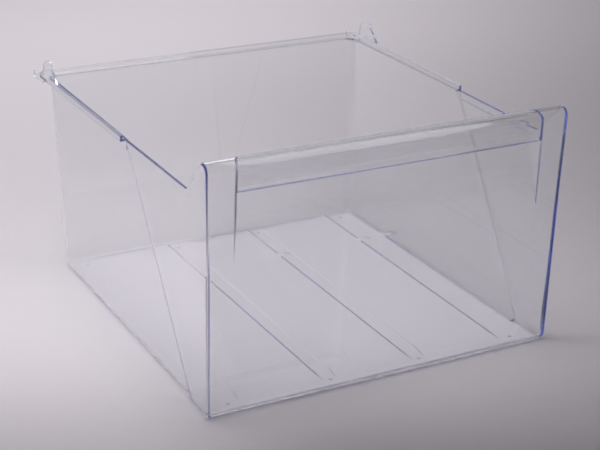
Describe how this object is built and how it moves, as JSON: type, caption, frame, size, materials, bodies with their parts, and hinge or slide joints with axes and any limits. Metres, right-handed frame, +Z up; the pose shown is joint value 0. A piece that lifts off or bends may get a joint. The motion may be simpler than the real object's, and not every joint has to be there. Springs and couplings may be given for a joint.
{
  "type": "freezer drawer",
  "caption": "Clear freezer drawer: an open moulded box with a tall front that has a recessed finger grip, a sliding flange round three sides and stop hooks at the rear.",
  "frame": {"origin": "middle of the footprint, on the surface that the drawer stands on", "axes": "+X across to the drawer's right as seen from the front, +Y back from the front face towards the rear, +Z up"},
  "size_m": [0.439, 0.475, 0.2794],
  "materials": {
    "clear_plastic": "polished clear"
  },
  "bodies": {
    "root": {"floor_panel": "clear_plastic", "front_floor_ramp": "clear_plastic", "floor_runner_outer_left": "clear_plastic", "floor_runner_inner_left": "clear_plastic", "floor_runner_inner_right": "clear_plastic", "floor_runner_outer_right": "clear_plastic", "back_wall": "clear_plastic", "back_rim": "clear_plastic", "front_panel": "clear_plastic", "grip_scoop": "clear_plastic", "grip_top": "clear_plastic", "grip_lip": "clear_plastic", "right_side_wall": "clear_plastic", "left_side_wall": "clear_plastic", "right_side_wing": "clear_plastic", "left_side_wing": "clear_plastic", "right_rear_corner": "clear_plastic", "left_rear_corner": "clear_plastic", "right_slide_rail": "clear_plastic", "left_slide_rail": "clear_plastic", "right_stop_hook": "clear_plastic", "left_stop_hook": "clear_plastic", "right_rail_tongue": "clear_plastic", "left_rail_tongue": "clear_plastic", "right_front_stile": "clear_plastic", "left_front_stile": "clear_plastic", "right_grip_cheek": "clear_plastic", "left_grip_cheek": "clear_plastic"}
  },
  "joints": []
}
